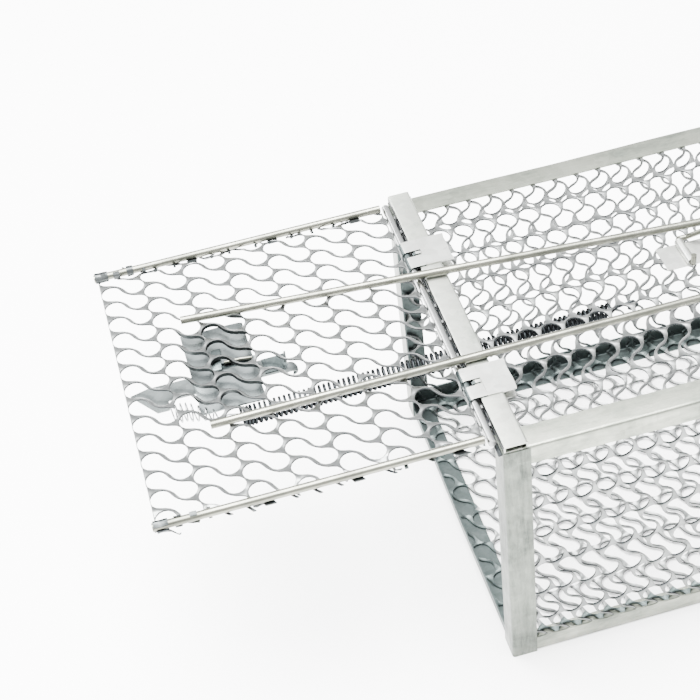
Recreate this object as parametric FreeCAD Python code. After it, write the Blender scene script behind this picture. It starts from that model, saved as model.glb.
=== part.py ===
"""Live catch trap: a wire-mesh cage with a drop door, set open.

Millimetres. +X runs from the door end to the back of the cage, +Y to the far
side, +Z up. The origin is the middle of the whole object's underside, door
included. Every builder below works from the cage's front plane (x = 0) and
underside (z = 0); the last step moves all of it to the origin.
"""
import FreeCAD, Part
import math
import os

V = FreeCAD.Vector

# ---------------------------------------------------------------- dimensions
CAGE_LENGTH = 270.0
CAGE_WIDTH = 140.0
CAGE_HEIGHT = 113.0
HALF_WIDTH = CAGE_WIDTH / 2

SHEET = 0.6               # galvanised sheet of the frame, tabs and plates
POST_FLANGE = 9.5
TOP_FLANGE = 9.6
TOP_SIDE_FLANGE = 8.2
BOTTOM_FLANGE = 9.0
BOTTOM_SIDE_FLANGE = 7.6
LIP_HEIGHT = 4.6          # front lip of the floor, above the rails' flanges

CROSSBAR_X = 0.3          # front face of the folded crossbar
CROSSBAR_WIDTH = 8.4
CROSSBAR_HEIGHT = 3.0

MESH = 1.0                # thickness of the expanded metal
GAP = 0.1                 # between neighbouring mesh panels

COLUMN_PITCH = 15.66      # along the long axis of the openings
ROW_PITCH = 8.8           # across it
COLUMN_SHIFT = 3.4        # each column sits this much further along a row
ROW_PHASE = 2.0           # where the first row starts
LOBE_RADIUS = 3.68        # an opening is two round lobes and a waist
LOBE_RUN = 8.85
LOBE_RISE = 7.35
WAIST_HALF = 2.2
EDGE = 1.1                # solid border that every opening stays clear of

ROD_RADIUS = 1.45         # hinge rod, lever and door wires
ROD_PLAY = 0.05
TAB_SHEET = 0.6
HINGE_X = -2.0
HINGE_Z = CAGE_HEIGHT + CROSSBAR_HEIGHT / 2
TAB_WIDTH = 15.0
TAB_REACH = 13.3
FAR_TAB_Y = 33.0
NEAR_TAB_Y = -38.0
NOTCH_WIDTH = 2.8
NOTCH_END_X = 2.2

DOOR_HALF_WIDTH = 63.5
DOOR_END_X = -115.9       # free ends of the side wires
DOOR_MESH_Z = CAGE_HEIGHT + 2.85
DOOR_MESH_END_X = -114.7
DOOR_MESH_HINGE_X = -4.4
WRAP_RADIUS = 2.0         # strand ends rolled round the hinge rod
WRAP_WIDTH = 1.4

LEVER_Z = CAGE_HEIGHT + 4.8
LEVER_START_X = -89.1
LEVER_END_X = 116.0
LEVER_NEAR_Y = -27.5
LEVER_FAR_START_Y = 27.2
LEVER_TAPER = 0.0883      # the far leg runs in by this much per millimetre
LEVER_BEND = 7.0

PLATE_X = -90.8           # free-edge side of the lock plate
PLATE_LENGTH = 23.1
PLATE_WIDTH = 41.0
PLATE_Y = 4.9
PLATE_TOP = CAGE_HEIGHT - 1.3
TONGUE_Y = 0.0
TONGUE_WIDTH = 8.0
TONGUE_TIP_X = -113.0
TONGUE_TOP = CAGE_HEIGHT - 2.0
TONGUE_PLAY = 0.3
TONGUE_BARB = 4.6
KEEPER_WIDTH = 3.0

SPRING_RADIUS = 3.6
SPRING_BORE = 2.8
SPRING_DOOR = V(-96.0, -18.8, CAGE_HEIGHT - 5.0)
SPRING_ANCHOR = V(68.0, -12.4, CAGE_HEIGHT - 6.0)

TRIGGER_X = 93.5
TRIGGER_Y = 0.8
TRIGGER_LEAF = 9.0
TRIGGER_WIDTH = 12.0
TRIGGER_WIRE = 1.0
TRIGGER_WALL = 0.6
CATCH_GAP = 0.8
ARM_Z = CAGE_HEIGHT + 7.8
BAIT_DEPTH = 46.0
BAIT_BEND = 6.0

DOOR_OVERHANG = -DOOR_END_X
TOTAL_LENGTH = DOOR_OVERHANG + CAGE_LENGTH + SHEET
TO_ORIGIN = V(DOOR_OVERHANG - TOTAL_LENGTH / 2, 0, 0)


# ------------------------------------------------------------------- helpers
def block(x0, x1, y0, y1, z0, z1):
    """A box between two corners given in any order."""
    low = V(min(x0, x1), min(y0, y1), min(z0, z1))
    return Part.makeBox(abs(x1 - x0), abs(y1 - y0), abs(z1 - z0), low)


def fuse(shapes):
    """One solid from overlapping or touching shapes."""
    whole = shapes[0].multiFuse(shapes[1:]).removeSplitter()
    return whole.Solids[0] if len(whole.Solids) == 1 else whole


def bent_path(points, radius):
    """A wire of straight runs with an arc of the given radius at every inner point."""
    edges = []
    start = points[0]
    for i in range(1, len(points) - 1):
        corner = points[i]
        back = (points[i - 1] - corner).normalize()
        ahead = (points[i + 1] - corner).normalize()
        half_turn = (math.pi - back.getAngle(ahead)) / 2
        cut = radius * math.tan(half_turn)
        bisector = (back + ahead).normalize()
        middle = corner + bisector * (radius / math.cos(half_turn) - radius)
        enter = corner + back * cut
        leave = corner + ahead * cut
        edges.append(Part.LineSegment(start, enter).toShape())
        edges.append(Part.Arc(enter, middle, leave).toShape())
        start = leave
    edges.append(Part.LineSegment(start, points[-1]).toShape())
    return Part.Wire(edges)


def round_bar(points, bar_radius, bend_radius=3.0):
    """Round wire along a bent path."""
    path = bent_path(points, bend_radius)
    direction = (points[1] - points[0]).normalize()
    profile = Part.Wire([Part.makeCircle(bar_radius, points[0], direction)])
    return path.makePipeShell([profile], True, True)


def extrude_y(outline, y0, y1):
    """Extrude a closed XZ outline, made of edges at y = 0, from y0 to y1."""
    face = Part.Face(Part.Wire(outline))
    face.translate(V(0, y0, 0))
    solid = face.extrude(V(0, y1 - y0, 0))
    return solid


def line(a, b):
    return Part.LineSegment(a, b).toShape()


def arc(a, middle, b):
    return Part.Arc(a, middle, b).toShape()


# -------------------------------------------------------------- mesh openings
LOBE_START = (COLUMN_PITCH - LOBE_RUN) / 2
LOBE_SPAN = math.hypot(LOBE_RUN, LOBE_RISE)
WAIST_RADIUS = ((LOBE_SPAN / 2) ** 2 + WAIST_HALF ** 2 - LOBE_RADIUS ** 2) \
    / (2 * (LOBE_RADIUS - WAIST_HALF))


def lobe_centres(column, row, phase):
    """The two lobe centres of one opening, in the panel's own u and v."""
    u = column * COLUMN_PITCH + LOBE_START
    v = row * ROW_PITCH + column * COLUMN_SHIFT + phase
    return (u, v), (u + LOBE_RUN, v + LOBE_RISE)


def opening_wire(first, second):
    """Dumbbell outline: two lobes joined by a waist of two hollow arcs."""
    a = V(first[0], first[1], 0)
    b = V(second[0], second[1], 0)
    along = (b - a).normalize()
    across = V(-along.y, along.x, 0)
    middle = (a + b) * 0.5
    offset = WAIST_RADIUS + WAIST_HALF
    edges = []
    touch = {}
    for side in (1, -1):
        hollow = middle + across * (side * offset)
        for name, lobe in (("a", a), ("b", b)):
            toward = (hollow - lobe).normalize()
            touch[name, side] = lobe + toward * LOBE_RADIUS
        edges.append(arc(touch["a", side], middle + across * (side * WAIST_HALF), touch["b", side]))
    edges.append(arc(touch["a", 1], a - along * LOBE_RADIUS, touch["a", -1]))
    edges.append(arc(touch["b", 1], b + along * LOBE_RADIUS, touch["b", -1]))
    return Part.Wire(Part.__sortEdges__(edges))


def round_wire(centre):
    return Part.Wire([Part.makeCircle(LOBE_RADIUS, V(centre[0], centre[1], 0))])


def fits(centre, length, width):
    """True where a lobe stays inside the panel's solid border."""
    reach = LOBE_RADIUS + EDGE
    inside_u = reach - 0.5 <= centre[0] <= length - reach + 0.5
    return inside_u and reach <= centre[1] <= width - reach


def mesh_panel(columns, width, phase, flip=False, length=None):
    """Expanded metal in the XY plane: u along the openings, v across them.

    The columns are centred in the panel's length. flip mirrors the slant.
    """
    length = length or columns * COLUMN_PITCH
    start = (length - columns * COLUMN_PITCH) / 2
    wires = []
    for column in range(columns):
        for row in range(-columns, int(width / ROW_PITCH) + 2):
            lobes = [(u + start, v) for u, v in lobe_centres(column, row, phase)]
            inside = [lobe for lobe in lobes if fits(lobe, length, width)]
            if len(inside) == 2:
                wires.append(opening_wire(*lobes))
            elif inside:
                wires.append(round_wire(inside[0]))
    corners = [V(0, 0, 0), V(length, 0, 0), V(length, width, 0), V(0, width, 0), V(0, 0, 0)]
    sheet = Part.Face([Part.makePolygon(corners)] + wires, "Part::FaceMakerBullseye")
    if flip:
        sheet = sheet.mirror(V(0, width / 2, 0), V(0, 1, 0))
    return sheet.extrude(V(0, 0, MESH))


def lay(panel, along, across, corner):
    """Place a panel so that its u runs along one direction and its v along another."""
    normal = along.cross(across)
    matrix = FreeCAD.Matrix(along.x, across.x, normal.x, corner.x,
                            along.y, across.y, normal.y, corner.y,
                            along.z, across.z, normal.z, corner.z,
                            0, 0, 0, 1)
    return panel.transformed(matrix)


# --------------------------------------------------------------------- frame
INNER_Y = HALF_WIDTH - 2 * SHEET          # inner face of the rails' side flanges
FLOOR_Z = 2 * SHEET                       # floor mesh rests on the flanges
CEILING_Z = CAGE_HEIGHT - SHEET           # top mesh lies under the flanges
MESH_X0 = 2 * SHEET + GAP
MESH_X1 = CAGE_LENGTH - 2 * SHEET - MESH - GAP
MESH_LENGTH = MESH_X1 - MESH_X0


def post(front, side):
    """Corner post, an L of sheet outside the rails."""
    face_x = 0 if front else CAGE_LENGTH
    inward = 1 if front else -1
    y = side * HALF_WIDTH
    end_flange = block(face_x, face_x + inward * SHEET, y, y - side * POST_FLANGE, 0, CAGE_HEIGHT)
    side_flange = block(face_x, face_x + inward * POST_FLANGE, y, y - side * SHEET, 0, CAGE_HEIGHT)
    return fuse([end_flange, side_flange])


def rail(side, top):
    """Long rail, an L of sheet inside the posts."""
    outer = side * (HALF_WIDTH - SHEET)
    flange = TOP_FLANGE if top else BOTTOM_FLANGE
    drop = TOP_SIDE_FLANGE if top else BOTTOM_SIDE_FLANGE
    edge = CAGE_HEIGHT if top else 0
    turn = -1 if top else 1
    x0, x1 = SHEET, CAGE_LENGTH - SHEET
    lying = block(x0, x1, outer, outer - side * flange, edge, edge + turn * SHEET)
    standing = block(x0, x1, outer, outer - side * SHEET, edge, edge + turn * drop)
    return fuse([lying, standing])


def front_top_crossbar():
    """Sheet folded flat into a tube that lies over the two top rails."""
    x0, x1 = CROSSBAR_X, CROSSBAR_X + CROSSBAR_WIDTH
    z0, z1 = CAGE_HEIGHT, CAGE_HEIGHT + CROSSBAR_HEIGHT
    seam = 1.2
    y0, y1 = -HALF_WIDTH + 0.5, HALF_WIDTH - 0.5
    walls = [
        block(x0, x1, y0, y1, z1 - SHEET, z1),
        block(x0, x0 + SHEET, y0, y1, z0, z1),
        block(x1 - SHEET, x1, y0, y1, z0, z1),
        block(x0, x1 - SHEET - seam, y0, y1, z0, z0 + SHEET),
    ]
    return fuse(walls)


def bottom_crossbar(front):
    """Floor lip, an L of sheet between the bottom rails."""
    face_x = SHEET if front else CAGE_LENGTH - SHEET
    inward = 1 if front else -1
    lip = block(face_x, face_x + inward * SHEET, -INNER_Y, INNER_Y, SHEET, SHEET + LIP_HEIGHT)
    flange = block(face_x, face_x + inward * BOTTOM_FLANGE, -INNER_Y, INNER_Y, SHEET, 2 * SHEET)
    return fuse([lip, flange])


def rear_top_crossbar():
    """L of sheet over the back ends of the top rails."""
    y0, y1 = -HALF_WIDTH + 0.5, HALF_WIDTH - 0.5
    top = block(CAGE_LENGTH - TOP_FLANGE, CAGE_LENGTH + SHEET, y0, y1, CAGE_HEIGHT, CAGE_HEIGHT + SHEET)
    back = block(CAGE_LENGTH, CAGE_LENGTH + SHEET, y0, y1,
                 CAGE_HEIGHT - TOP_SIDE_FLANGE, CAGE_HEIGHT + SHEET)
    return fuse([top, back])


# --------------------------------------------------------------- mesh panels
PANEL_HALF = INNER_Y - MESH - GAP         # top and floor end inside the side meshes
ACROSS_COLUMNS = 8        # of openings, in the top and the floor


def top_mesh():
    panel = mesh_panel(ACROSS_COLUMNS, MESH_LENGTH, ROW_PHASE, length=2 * PANEL_HALF)
    corner = V(MESH_X0, -PANEL_HALF, CEILING_Z)
    return lay(panel, V(0, 1, 0), V(1, 0, 0), corner)


def floor_mesh():
    panel = mesh_panel(ACROSS_COLUMNS, MESH_LENGTH, ROW_PHASE, flip=True, length=2 * PANEL_HALF)
    corner = V(MESH_X0, -PANEL_HALF, FLOOR_Z + MESH)
    return lay(panel, V(0, 1, 0), V(1, 0, 0), corner)


SIDE_Z0 = FLOOR_Z + MESH + GAP
SIDE_Z1 = CEILING_Z - MESH - GAP
SIDE_COLUMNS = 7          # of openings, in the sides, the back and the door


def side_mesh(side):
    """Side panel: the openings stand upright and lean away from the door going down."""
    panel = mesh_panel(SIDE_COLUMNS, MESH_LENGTH, ROW_PHASE, flip=True, length=SIDE_Z1 - SIDE_Z0)
    y0 = -INNER_Y if side < 0 else INNER_Y - MESH
    return lay(panel, V(0, 0, 1), V(1, 0, 0), V(MESH_X0, y0, SIDE_Z0))


def back_mesh():
    panel = mesh_panel(SIDE_COLUMNS, 2 * PANEL_HALF, ROW_PHASE, length=SIDE_Z1 - SIDE_Z0)
    corner = V(MESH_X1 + GAP + MESH, -PANEL_HALF, SIDE_Z0)
    return lay(panel, V(0, 0, 1), V(0, 1, 0), corner)


# ---------------------------------------------------------------------- door
def hinge_tab(centre_y):
    """Strap folded over the crossbar, rolled round the hinge rod at the front."""
    inner = ROD_RADIUS + ROD_PLAY
    outer = inner + TAB_SHEET
    x1 = TAB_REACH
    top_in = V(HINGE_X, 0, HINGE_Z + inner)
    top_out = V(HINGE_X, 0, HINGE_Z + outer)
    low_in = V(HINGE_X, 0, HINGE_Z - inner)
    low_out = V(HINGE_X, 0, HINGE_Z - outer)
    outline = [
        line(V(x1, 0, HINGE_Z + inner), V(x1, 0, HINGE_Z + outer)),
        line(V(x1, 0, HINGE_Z + outer), top_out),
        arc(top_out, V(HINGE_X - outer, 0, HINGE_Z), low_out),
        line(low_out, V(x1, 0, HINGE_Z - outer)),
        line(V(x1, 0, HINGE_Z - outer), V(x1, 0, HINGE_Z - inner)),
        line(V(x1, 0, HINGE_Z - inner), low_in),
        arc(low_in, V(HINGE_X - inner, 0, HINGE_Z), top_in),
        line(top_in, V(x1, 0, HINGE_Z + inner)),
    ]
    strap = extrude_y(outline, centre_y - TAB_WIDTH / 2, centre_y + TAB_WIDTH / 2)
    notch = block(HINGE_X - outer - 1, NOTCH_END_X,
                  centre_y - NOTCH_WIDTH / 2, centre_y + NOTCH_WIDTH / 2,
                  HINGE_Z - outer - 1, HINGE_Z + outer + 1)
    return strap.cut(notch).Solids[0]


def hinge_rod():
    """Round rod, carried by the knuckles and turning with the door."""
    length = 2 * (DOOR_HALF_WIDTH + 1.5)
    return Part.makeCylinder(ROD_RADIUS, length, V(HINGE_X, -length / 2, HINGE_Z), V(0, 1, 0))


def wrap_positions():
    """Where the strand ends of the door mesh go round the rod, clear of both tabs."""
    count = int(2 * DOOR_HALF_WIDTH / ROW_PITCH)
    places = [(i - (count - 1) / 2) * ROW_PITCH for i in range(count)]
    clear = TAB_WIDTH / 2 + WRAP_WIDTH
    return [y for y in places if abs(y - FAR_TAB_Y) > clear and abs(y - NEAR_TAB_Y) > clear]


def door_mesh():
    """Door panel; its hinge edge has strand ends rolled round the rod."""
    length = DOOR_MESH_HINGE_X - DOOR_MESH_END_X
    width = 2 * DOOR_HALF_WIDTH - 2 * ROD_RADIUS
    panel = mesh_panel(SIDE_COLUMNS, width, ROW_PHASE, flip=True, length=length)
    sheet = lay(panel, V(1, 0, 0), V(0, 1, 0), V(DOOR_MESH_END_X, -width / 2, DOOR_MESH_Z - MESH / 2))
    pieces = [sheet]
    strand_low = DOOR_MESH_Z - MESH / 2
    for y in wrap_positions():
        ring = Part.makeCylinder(WRAP_RADIUS, WRAP_WIDTH, V(HINGE_X, y - WRAP_WIDTH / 2, HINGE_Z), V(0, 1, 0))
        hole = Part.makeCylinder(ROD_RADIUS, WRAP_WIDTH, V(HINGE_X, y - WRAP_WIDTH / 2, HINGE_Z), V(0, 1, 0))
        strand = block(DOOR_MESH_HINGE_X - 0.4, HINGE_X - ROD_RADIUS * 0.6,
                       y - WRAP_WIDTH / 2, y + WRAP_WIDTH / 2, strand_low, strand_low + 0.6)
        pieces.append(ring.cut(hole))
        pieces.append(strand.cut(hole))
    return fuse(pieces)


def door_wire(side):
    """Side wire, which the cut edge of the door mesh is curled round."""
    x1 = HINGE_X - WRAP_RADIUS - 0.4
    return Part.makeCylinder(ROD_RADIUS, x1 - DOOR_END_X,
                             V(DOOR_END_X, side * DOOR_HALF_WIDTH, DOOR_MESH_Z), V(1, 0, 0))


def lever_far_y(x):
    return LEVER_FAR_START_Y - LEVER_TAPER * (x - LEVER_START_X)


def lever():
    """One long wire: two legs over the door and the cage top, closed at the back."""
    points = [
        V(LEVER_START_X, LEVER_NEAR_Y, LEVER_Z),
        V(LEVER_END_X, LEVER_NEAR_Y, LEVER_Z),
        V(LEVER_END_X, lever_far_y(LEVER_END_X), LEVER_Z),
        V(LEVER_START_X, LEVER_FAR_START_Y, LEVER_Z),
    ]
    return round_bar(points, ROD_RADIUS, LEVER_BEND)


def lock_plate():
    """Plate under the door mesh, with a window, lugs up to the mesh and keepers below."""
    x0, x1 = PLATE_X, PLATE_X + PLATE_LENGTH
    low = PLATE_TOP - SHEET
    plate = block(x0, x1, PLATE_Y - PLATE_WIDTH / 2, PLATE_Y + PLATE_WIDTH / 2, low, PLATE_TOP)
    window = block(x0 + 7.5, x1 - 1.2, TONGUE_Y + 3.4, TONGUE_Y + 11.5, low - 1, PLATE_TOP + 1)
    pieces = [plate.cut(window)]
    mesh_low = DOOR_MESH_Z - MESH / 2
    for x, y, along_x in ((x0 + 7.0, TONGUE_Y + 7.4, False), (x0 + 15.0, TONGUE_Y + 3.0, True),
                          (x0 + 3.0, PLATE_Y - 16.0, True), (x1 - 3.0, PLATE_Y + 17.0, False)):
        size_x, size_y = (8.0, SHEET) if along_x else (SHEET, 5.0)
        pieces.append(block(x - size_x / 2, x + size_x / 2, y - size_y / 2, y + size_y / 2,
                            low, mesh_low))
    half = TONGUE_WIDTH / 2 + TONGUE_PLAY
    strap_low = TONGUE_TOP - SHEET - TONGUE_PLAY - SHEET
    for x in (x0 + 0.8, x1 - KEEPER_WIDTH - 0.8):
        for side in (1, -1):
            inner = TONGUE_Y + side * half
            pieces.append(block(x, x + KEEPER_WIDTH, inner, inner + side * SHEET, strap_low, PLATE_TOP - 0.1))
        pieces.append(block(x, x + KEEPER_WIDTH, TONGUE_Y - half, TONGUE_Y + half,
                            strap_low, strap_low + SHEET))
    return fuse(pieces)


def lock_tongue():
    """Sliding strip: a barbed head towards the free edge, an upturned tail behind."""
    low = TONGUE_TOP - SHEET
    near, far = TONGUE_Y - TONGUE_WIDTH / 2, TONGUE_Y + TONGUE_WIDTH / 2
    tail_x = PLATE_X + PLATE_LENGTH + 10.1
    head = [
        V(TONGUE_TIP_X, far - 1.6, low), V(TONGUE_TIP_X + 6.5, far, low), V(tail_x, far, low),
        V(tail_x, near, low), V(TONGUE_TIP_X + 12.4, near, low),
        V(TONGUE_TIP_X + 12.2, near - TONGUE_BARB, low), V(TONGUE_TIP_X + 7.8, near - TONGUE_BARB, low),
        V(TONGUE_TIP_X, far - 1.6, low),
    ]
    strip = Part.Face(Part.makePolygon(head)).extrude(V(0, 0, SHEET))
    tail = block(tail_x - SHEET, tail_x, near, far, low, low + 3.4)
    curl = Part.makeCylinder(2.0, SHEET, V(tail_x + 2.0, near + 1.0, low), V(0, 0, 1))
    foot = block(tail_x - SHEET, tail_x + 2.0, near - 1.0, near + 3.0, low, low + SHEET)
    return fuse([strip, tail, curl, foot])


def closing_spring():
    """Stand-in body of the extension spring, with its two hook wires."""
    axis = SPRING_ANCHOR - SPRING_DOOR
    along = V(axis.x, axis.y, axis.z).normalize()
    hook = 5.0
    start = SPRING_DOOR + along * hook
    length = axis.Length - 2 * hook
    coil = Part.makeCylinder(SPRING_RADIUS, length, start, along)
    bore = Part.makeCylinder(SPRING_BORE, length, start, along)
    end = start + along * length
    wire = 0.5
    hooks = []
    for foot, tip in ((start, SPRING_DOOR), (end, SPRING_ANCHOR)):
        rim = V(0, 0, (SPRING_RADIUS + SPRING_BORE) / 2)
        top = foot + rim - (tip - foot) * 0.1
        hooks.append(Part.makeCylinder(wire, (tip + rim - top).Length, top, tip + rim - top))
    return fuse([coil.cut(bore)] + hooks)


# ------------------------------------------------------------------- trigger
KNUCKLE_INNER = TRIGGER_WIRE + ROD_PLAY
KNUCKLE_OUTER = KNUCKLE_INNER + TRIGGER_WALL
PIVOT_Z = CEILING_Z + KNUCKLE_OUTER
SHAFT_HALF = TRIGGER_WIDTH / 2 + 1.4


def bait_place():
    """Middle of the mesh lobe that the bait hook hangs through."""
    column, row = 3, 13
    lobes = lobe_centres(column, row, ROW_PHASE)
    start = (2 * PANEL_HALF - ACROSS_COLUMNS * COLUMN_PITCH) / 2
    across, along = lobes[1]
    return MESH_X0 + along, -PANEL_HALF + start + across


BAIT_X, BAIT_LEG_Y = bait_place()


def knuckle_plate(x, centre_y, rear_leaf):
    """Strip with a knuckle rolled across its middle and a leaf each side."""
    z = PIVOT_Z
    y0, y1 = centre_y - TRIGGER_WIDTH / 2, centre_y + TRIGGER_WIDTH / 2
    tube = Part.makeCylinder(KNUCKLE_OUTER, TRIGGER_WIDTH, V(x, y0, z), V(0, 1, 0))
    leaf = block(x - TRIGGER_LEAF, x + rear_leaf, y0, y1, CEILING_Z, CEILING_Z + SHEET)
    bore = Part.makeCylinder(KNUCKLE_INNER, TRIGGER_WIDTH, V(x, y0, z), V(0, 1, 0))
    return fuse([tube, leaf]).cut(bore)


def trigger_plate():
    return knuckle_plate(TRIGGER_X, TRIGGER_Y, 12.0)


def hold_down_arm():
    """Wire in the trigger plate's knuckle; its arm lies over the closed end of the lever."""
    near = TRIGGER_Y - SHAFT_HALF
    far = TRIGGER_Y + SHAFT_HALF + 0.2
    points = [
        V(TRIGGER_X, near, PIVOT_Z + 4.5),
        V(TRIGGER_X, near, PIVOT_Z),
        V(TRIGGER_X, far, PIVOT_Z),
        V(TRIGGER_X + 3.6, far - 0.4, PIVOT_Z + 0.3),
        V(TRIGGER_X + 11.0, TRIGGER_Y + 2.0, ARM_Z),
        V(TRIGGER_X + 17.0, TRIGGER_Y, ARM_Z),
        V(BAIT_X + 2.0, TRIGGER_Y, ARM_Z),
    ]
    return round_bar(points, TRIGGER_WIRE, 1.2)


def bait_bracket_y():
    """Middle of the bait hook's bracket: the hanging leg passes just beside it."""
    return BAIT_LEG_Y + SHAFT_HALF + 0.4


def bait_hook_bracket():
    return knuckle_plate(BAIT_X, bait_bracket_y(), TRIGGER_LEAF)


def bait_hook():
    """Wire in the rear bracket: a catch over the arm above, the bait hook below."""
    middle = bait_bracket_y()
    far = middle + SHAFT_HALF + 0.4
    catch_z = ARM_Z + 2 * TRIGGER_WIRE + CATCH_GAP
    bottom = CAGE_HEIGHT - BAIT_DEPTH
    points = [
        V(BAIT_X, TRIGGER_Y - 3.0, catch_z),
        V(BAIT_X, far, catch_z),
        V(BAIT_X, far, PIVOT_Z),
        V(BAIT_X, BAIT_LEG_Y, PIVOT_Z),
        V(BAIT_X, BAIT_LEG_Y, bottom),
        V(BAIT_X - 2 * BAIT_BEND, BAIT_LEG_Y, bottom),
        V(BAIT_X - 2 * BAIT_BEND, BAIT_LEG_Y, bottom + 10.0),
    ]
    upper = round_bar(points[:5], TRIGGER_WIRE, 1.4)
    lower = round_bar(points[4:5] + points[5:], TRIGGER_WIRE, 4.0)
    elbow = Part.makeSphere(TRIGGER_WIRE, points[4])
    return fuse([upper, elbow, lower])


# --------------------------------------------------------------------- parts
def build():
    parts = {
        "front_near_post": post(True, -1),
        "front_far_post": post(True, 1),
        "rear_near_post": post(False, -1),
        "rear_far_post": post(False, 1),
        "near_top_rail": rail(-1, True),
        "far_top_rail": rail(1, True),
        "near_bottom_rail": rail(-1, False),
        "far_bottom_rail": rail(1, False),
        "front_top_crossbar": front_top_crossbar(),
        "rear_top_crossbar": rear_top_crossbar(),
        "front_floor_lip": bottom_crossbar(True),
        "rear_floor_lip": bottom_crossbar(False),
        "top_mesh": top_mesh(),
        "floor_mesh": floor_mesh(),
        "near_side_mesh": side_mesh(-1),
        "far_side_mesh": side_mesh(1),
        "back_mesh": back_mesh(),
        "near_hinge_tab": hinge_tab(NEAR_TAB_Y),
        "far_hinge_tab": hinge_tab(FAR_TAB_Y),
        "hinge_rod": hinge_rod(),
        "door_mesh": door_mesh(),
        "near_door_wire": door_wire(-1),
        "far_door_wire": door_wire(1),
        "lever": lever(),
        "lock_plate": lock_plate(),
        "lock_tongue": lock_tongue(),
        "closing_spring": closing_spring(),
        "trigger_plate": trigger_plate(),
        "hold_down_arm": hold_down_arm(),
        "bait_hook_bracket": bait_hook_bracket(),
        "bait_hook": bait_hook(),
    }
    return parts


os.makedirs("parts", exist_ok=True)
for name, shape in build().items():
    solid = shape.copy()
    solid.translate(TO_ORIGIN)
    solid.exportStep("parts/%s.step" % name)
    box = solid.BoundBox
    print("%-20s solids %d valid %s  x %.1f..%.1f  y %.1f..%.1f  z %.1f..%.1f" % (
        name, len(solid.Solids), solid.isValid(),
        box.XMin, box.XMax, box.YMin, box.YMax, box.ZMin, box.ZMax))
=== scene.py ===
"""Looks of the live catch trap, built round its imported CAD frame.

Lengths are in millimetres up to the last step of each builder, in the cage's
own axes: x = 0 is the cage's front plane, y = 0 its middle, z = 0 its
underside. at() turns such a point into the row frame, in metres.
"""

import bpy
import math
from mathutils import Matrix, Vector, noise
from mathutils.geometry import delaunay_2d_cdt


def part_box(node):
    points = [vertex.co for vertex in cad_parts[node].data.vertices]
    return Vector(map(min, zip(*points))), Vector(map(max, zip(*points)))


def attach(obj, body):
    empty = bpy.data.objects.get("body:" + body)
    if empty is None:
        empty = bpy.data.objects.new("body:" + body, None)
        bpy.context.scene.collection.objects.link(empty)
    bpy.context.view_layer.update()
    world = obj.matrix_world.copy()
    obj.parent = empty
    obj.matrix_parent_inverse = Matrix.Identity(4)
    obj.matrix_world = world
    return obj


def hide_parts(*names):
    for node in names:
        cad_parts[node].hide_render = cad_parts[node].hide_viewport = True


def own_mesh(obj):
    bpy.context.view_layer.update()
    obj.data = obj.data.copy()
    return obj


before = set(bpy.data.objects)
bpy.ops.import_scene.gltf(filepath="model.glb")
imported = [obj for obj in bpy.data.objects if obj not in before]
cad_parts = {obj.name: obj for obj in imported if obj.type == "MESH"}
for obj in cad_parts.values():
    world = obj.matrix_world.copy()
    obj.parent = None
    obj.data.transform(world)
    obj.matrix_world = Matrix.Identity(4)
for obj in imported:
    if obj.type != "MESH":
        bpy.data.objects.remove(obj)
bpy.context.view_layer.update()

MM = 0.001
FRONT_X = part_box("front_near_post")[0].x / MM
BACK_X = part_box("rear_near_post")[1].x / MM - FRONT_X
TOP_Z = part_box("near_top_rail")[1].z / MM
HALF_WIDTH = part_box("near_top_rail")[0].y / -MM + 0.6
SHEET = 0.6


def at(point):
    """A point of the cage's axes, in millimetres, as a point of the row frame."""
    return Vector((point[0] + FRONT_X, point[1], point[2])) * MM


# ------------------------------------------------------------------ materials
def node(tree, kind, **values):
    """A new shader node; values are its properties or its inputs by name."""
    made = tree.nodes.new("ShaderNode" + kind)
    for name, value in values.items():
        name = name.replace("_", " ")
        socket = made.inputs.get(name) or made.inputs.get(name.title())
        if socket is not None:
            socket.default_value = value
        else:
            setattr(made, name.replace(" ", "_"), value)
    return made


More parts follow.
